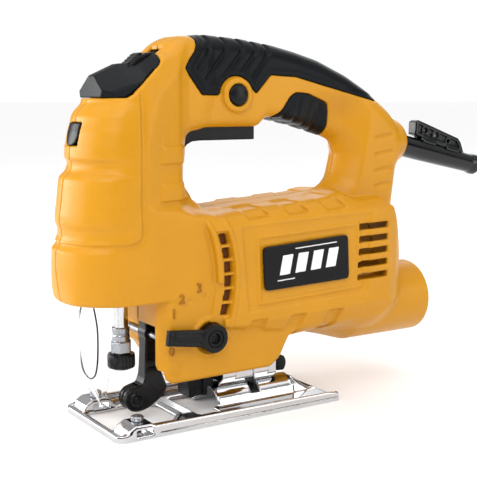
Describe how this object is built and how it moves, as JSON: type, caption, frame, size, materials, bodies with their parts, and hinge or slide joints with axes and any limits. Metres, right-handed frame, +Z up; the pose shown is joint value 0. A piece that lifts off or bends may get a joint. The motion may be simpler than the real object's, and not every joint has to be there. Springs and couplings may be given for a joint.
{
  "type": "jigsaw power tool",
  "caption": "Corded jigsaw with a D handle, trigger and lock button, pendulum lever, guide roller, clear shield, rear dust port and a tilting steel sole.",
  "frame": {"origin": "underside of the sole, at the middle of the whole tool's length and width", "axes": "+Z up, +X to the rear of the tool, towards the cord sleeve; -Y is the tool's left side, with the pendulum lever"},
  "size_m": [0.3132, 0.072, 0.219],
  "materials": {
    "yellow_shell": "fine moulded satin texture",
    "black_grip": "soft overmoulded, matt",
    "black_plastic": "satin moulded",
    "badge_face": "printed label, gloss",
    "clear_plastic": "clear moulded plastic",
    "polished_steel": "bright plated",
    "machined_steel": "ground",
    "blackened_steel": "black oxide",
    "cast_alloy": "die cast",
    "copper_winding": "enamelled copper",
    "bronze": "sintered, oiled",
    "carbon": "carbon block",
    "laminate": "stacked laminations",
    "inner_plastic": "glass filled nylon"
  },
  "bodies": {
    "housing": {"left_housing": "yellow_shell", "right_housing": "yellow_shell", "left_handle_grip": "black_grip", "left_finger_grip": "black_grip", "left_badge": "badge_face", "right_handle_grip": "black_grip", "right_finger_grip": "black_grip", "right_badge": "badge_face", "housing_screw_1": "machined_steel", "housing_screw_2": "machined_steel", "front_cap": "black_grip", "front_window": "black_plastic", "light_module": "inner_plastic", "trigger_spring": "machined_steel", "switch_body": "inner_plastic", "strain_relief": "black_grip", "hex_key_holder": "black_plastic", "cord_clamp": "inner_plastic", "stator": "laminate", "upper_field_coil": "copper_winding", "lower_field_coil": "copper_winding", "front_bearing": "machined_steel", "rear_bearing": "machined_steel", "left_brush_holder": "bronze", "left_brush": "carbon", "right_brush_holder": "bronze", "right_brush": "carbon", "gear_case": "cast_alloy", "gear_pin": "machined_steel", "upper_guide_bush": "bronze", "lower_guide_bush": "bronze", "roller_arm_pin": "machined_steel", "wire_guard": "polished_steel", "clear_shield": "clear_plastic", "tilt_bracket": "machined_steel", "bevel_clamp_screw": "machined_steel", "bracket_spacer": "black_plastic", "rear_bumper": "black_plastic"},
    "light_switch": {"light_switch": "black_plastic"},
    "trigger": {"trigger": "black_plastic", "trigger_plunger": "inner_plastic"},
    "lock_button": {"lock_button": "black_plastic"},
    "lever": {"pendulum_lever": "black_plastic", "lever_screw": "machined_steel", "lever_cam": "bronze"},
    "armature": {"armature_core": "laminate", "armature_shaft": "machined_steel", "commutator": "copper_winding", "cooling_fan": "inner_plastic"},
    "drive_gear": {"drive_gear": "machined_steel"},
    "plunger": {"plunger_rod": "machined_steel", "blade_clamp_body": "machined_steel"},
    "clamp_collar": {"blade_clamp_collar": "blackened_steel"},
    "roller_arm": {"roller_arm": "blackened_steel", "guide_roller_pin": "machined_steel"},
    "guide_roller": {"guide_roller": "machined_steel"},
    "sole": {"sole_plate": "polished_steel", "left_fence_screw": "machined_steel", "right_fence_screw": "machined_steel"}
  },
  "joints": [
    {"name": "light_switch_press", "type": "slide", "parent": "housing", "child": "light_switch", "axis": [0, 0, -1], "range_m": [0, 0.0012], "stiffness_N_per_m": 800, "springref_m": -0.0005},
    {"name": "trigger_press", "type": "slide", "parent": "housing", "child": "trigger", "axis": [0, 0, 1], "range_m": [0, 0.005], "stiffness_N_per_m": 700, "springref_m": -0.002, "deforming": ["trigger_spring"]},
    {"name": "lock_button_press", "type": "slide", "parent": "housing", "child": "lock_button", "axis": [0, 1, 0], "range_m": [0, 0.0025], "stiffness_N_per_m": 500, "springref_m": -0.001},
    {"name": "lever_turn", "type": "hinge", "parent": "housing", "child": "lever", "pos_m": [-0.07842, -0.03, 0.05], "axis": [0, 1, 0], "range_deg": [0, 66]},
    {"name": "armature_spin", "type": "hinge", "parent": "housing", "child": "armature", "pos_m": [-0.03012, 0, 0.088], "axis": [1, 0, 0], "continuous": true},
    {"name": "gear_spin", "type": "hinge", "parent": "housing", "child": "drive_gear", "pos_m": [-0.10013, 0, 0.1127], "axis": [1, 0, 0], "continuous": true},
    {"name": "plunger_stroke", "type": "slide", "parent": "housing", "child": "plunger", "axis": [0, 0, 1], "range_m": [-0.0095, 0.0095]},
    {"name": "clamp_collar_turn", "type": "hinge", "parent": "plunger", "child": "clamp_collar", "pos_m": [-0.12012, 0, 0.036], "axis": [0, 0, 1], "range_deg": [0, 60], "stiffness_Nm_per_rad": 0.02},
    {"name": "roller_arm_swing", "type": "hinge", "parent": "housing", "child": "roller_arm", "pos_m": [-0.10362, 0, 0.05], "axis": [0, 1, 0], "range_deg": [0, 3.5]},
    {"name": "guide_roller_spin", "type": "hinge", "parent": "roller_arm", "child": "guide_roller", "pos_m": [-0.11292, 0, 0.0128], "axis": [0, 1, 0], "continuous": true},
    {"name": "sole_tilt", "type": "hinge", "parent": "housing", "child": "sole", "pos_m": [-0.08013, 0, 0], "axis": [1, 0, 0], "range_deg": [-45, 45]}
  ],
  "couplings": [
    {"joint": "gear_spin", "follows": "armature_spin", "ratio": -0.225}
  ]
}
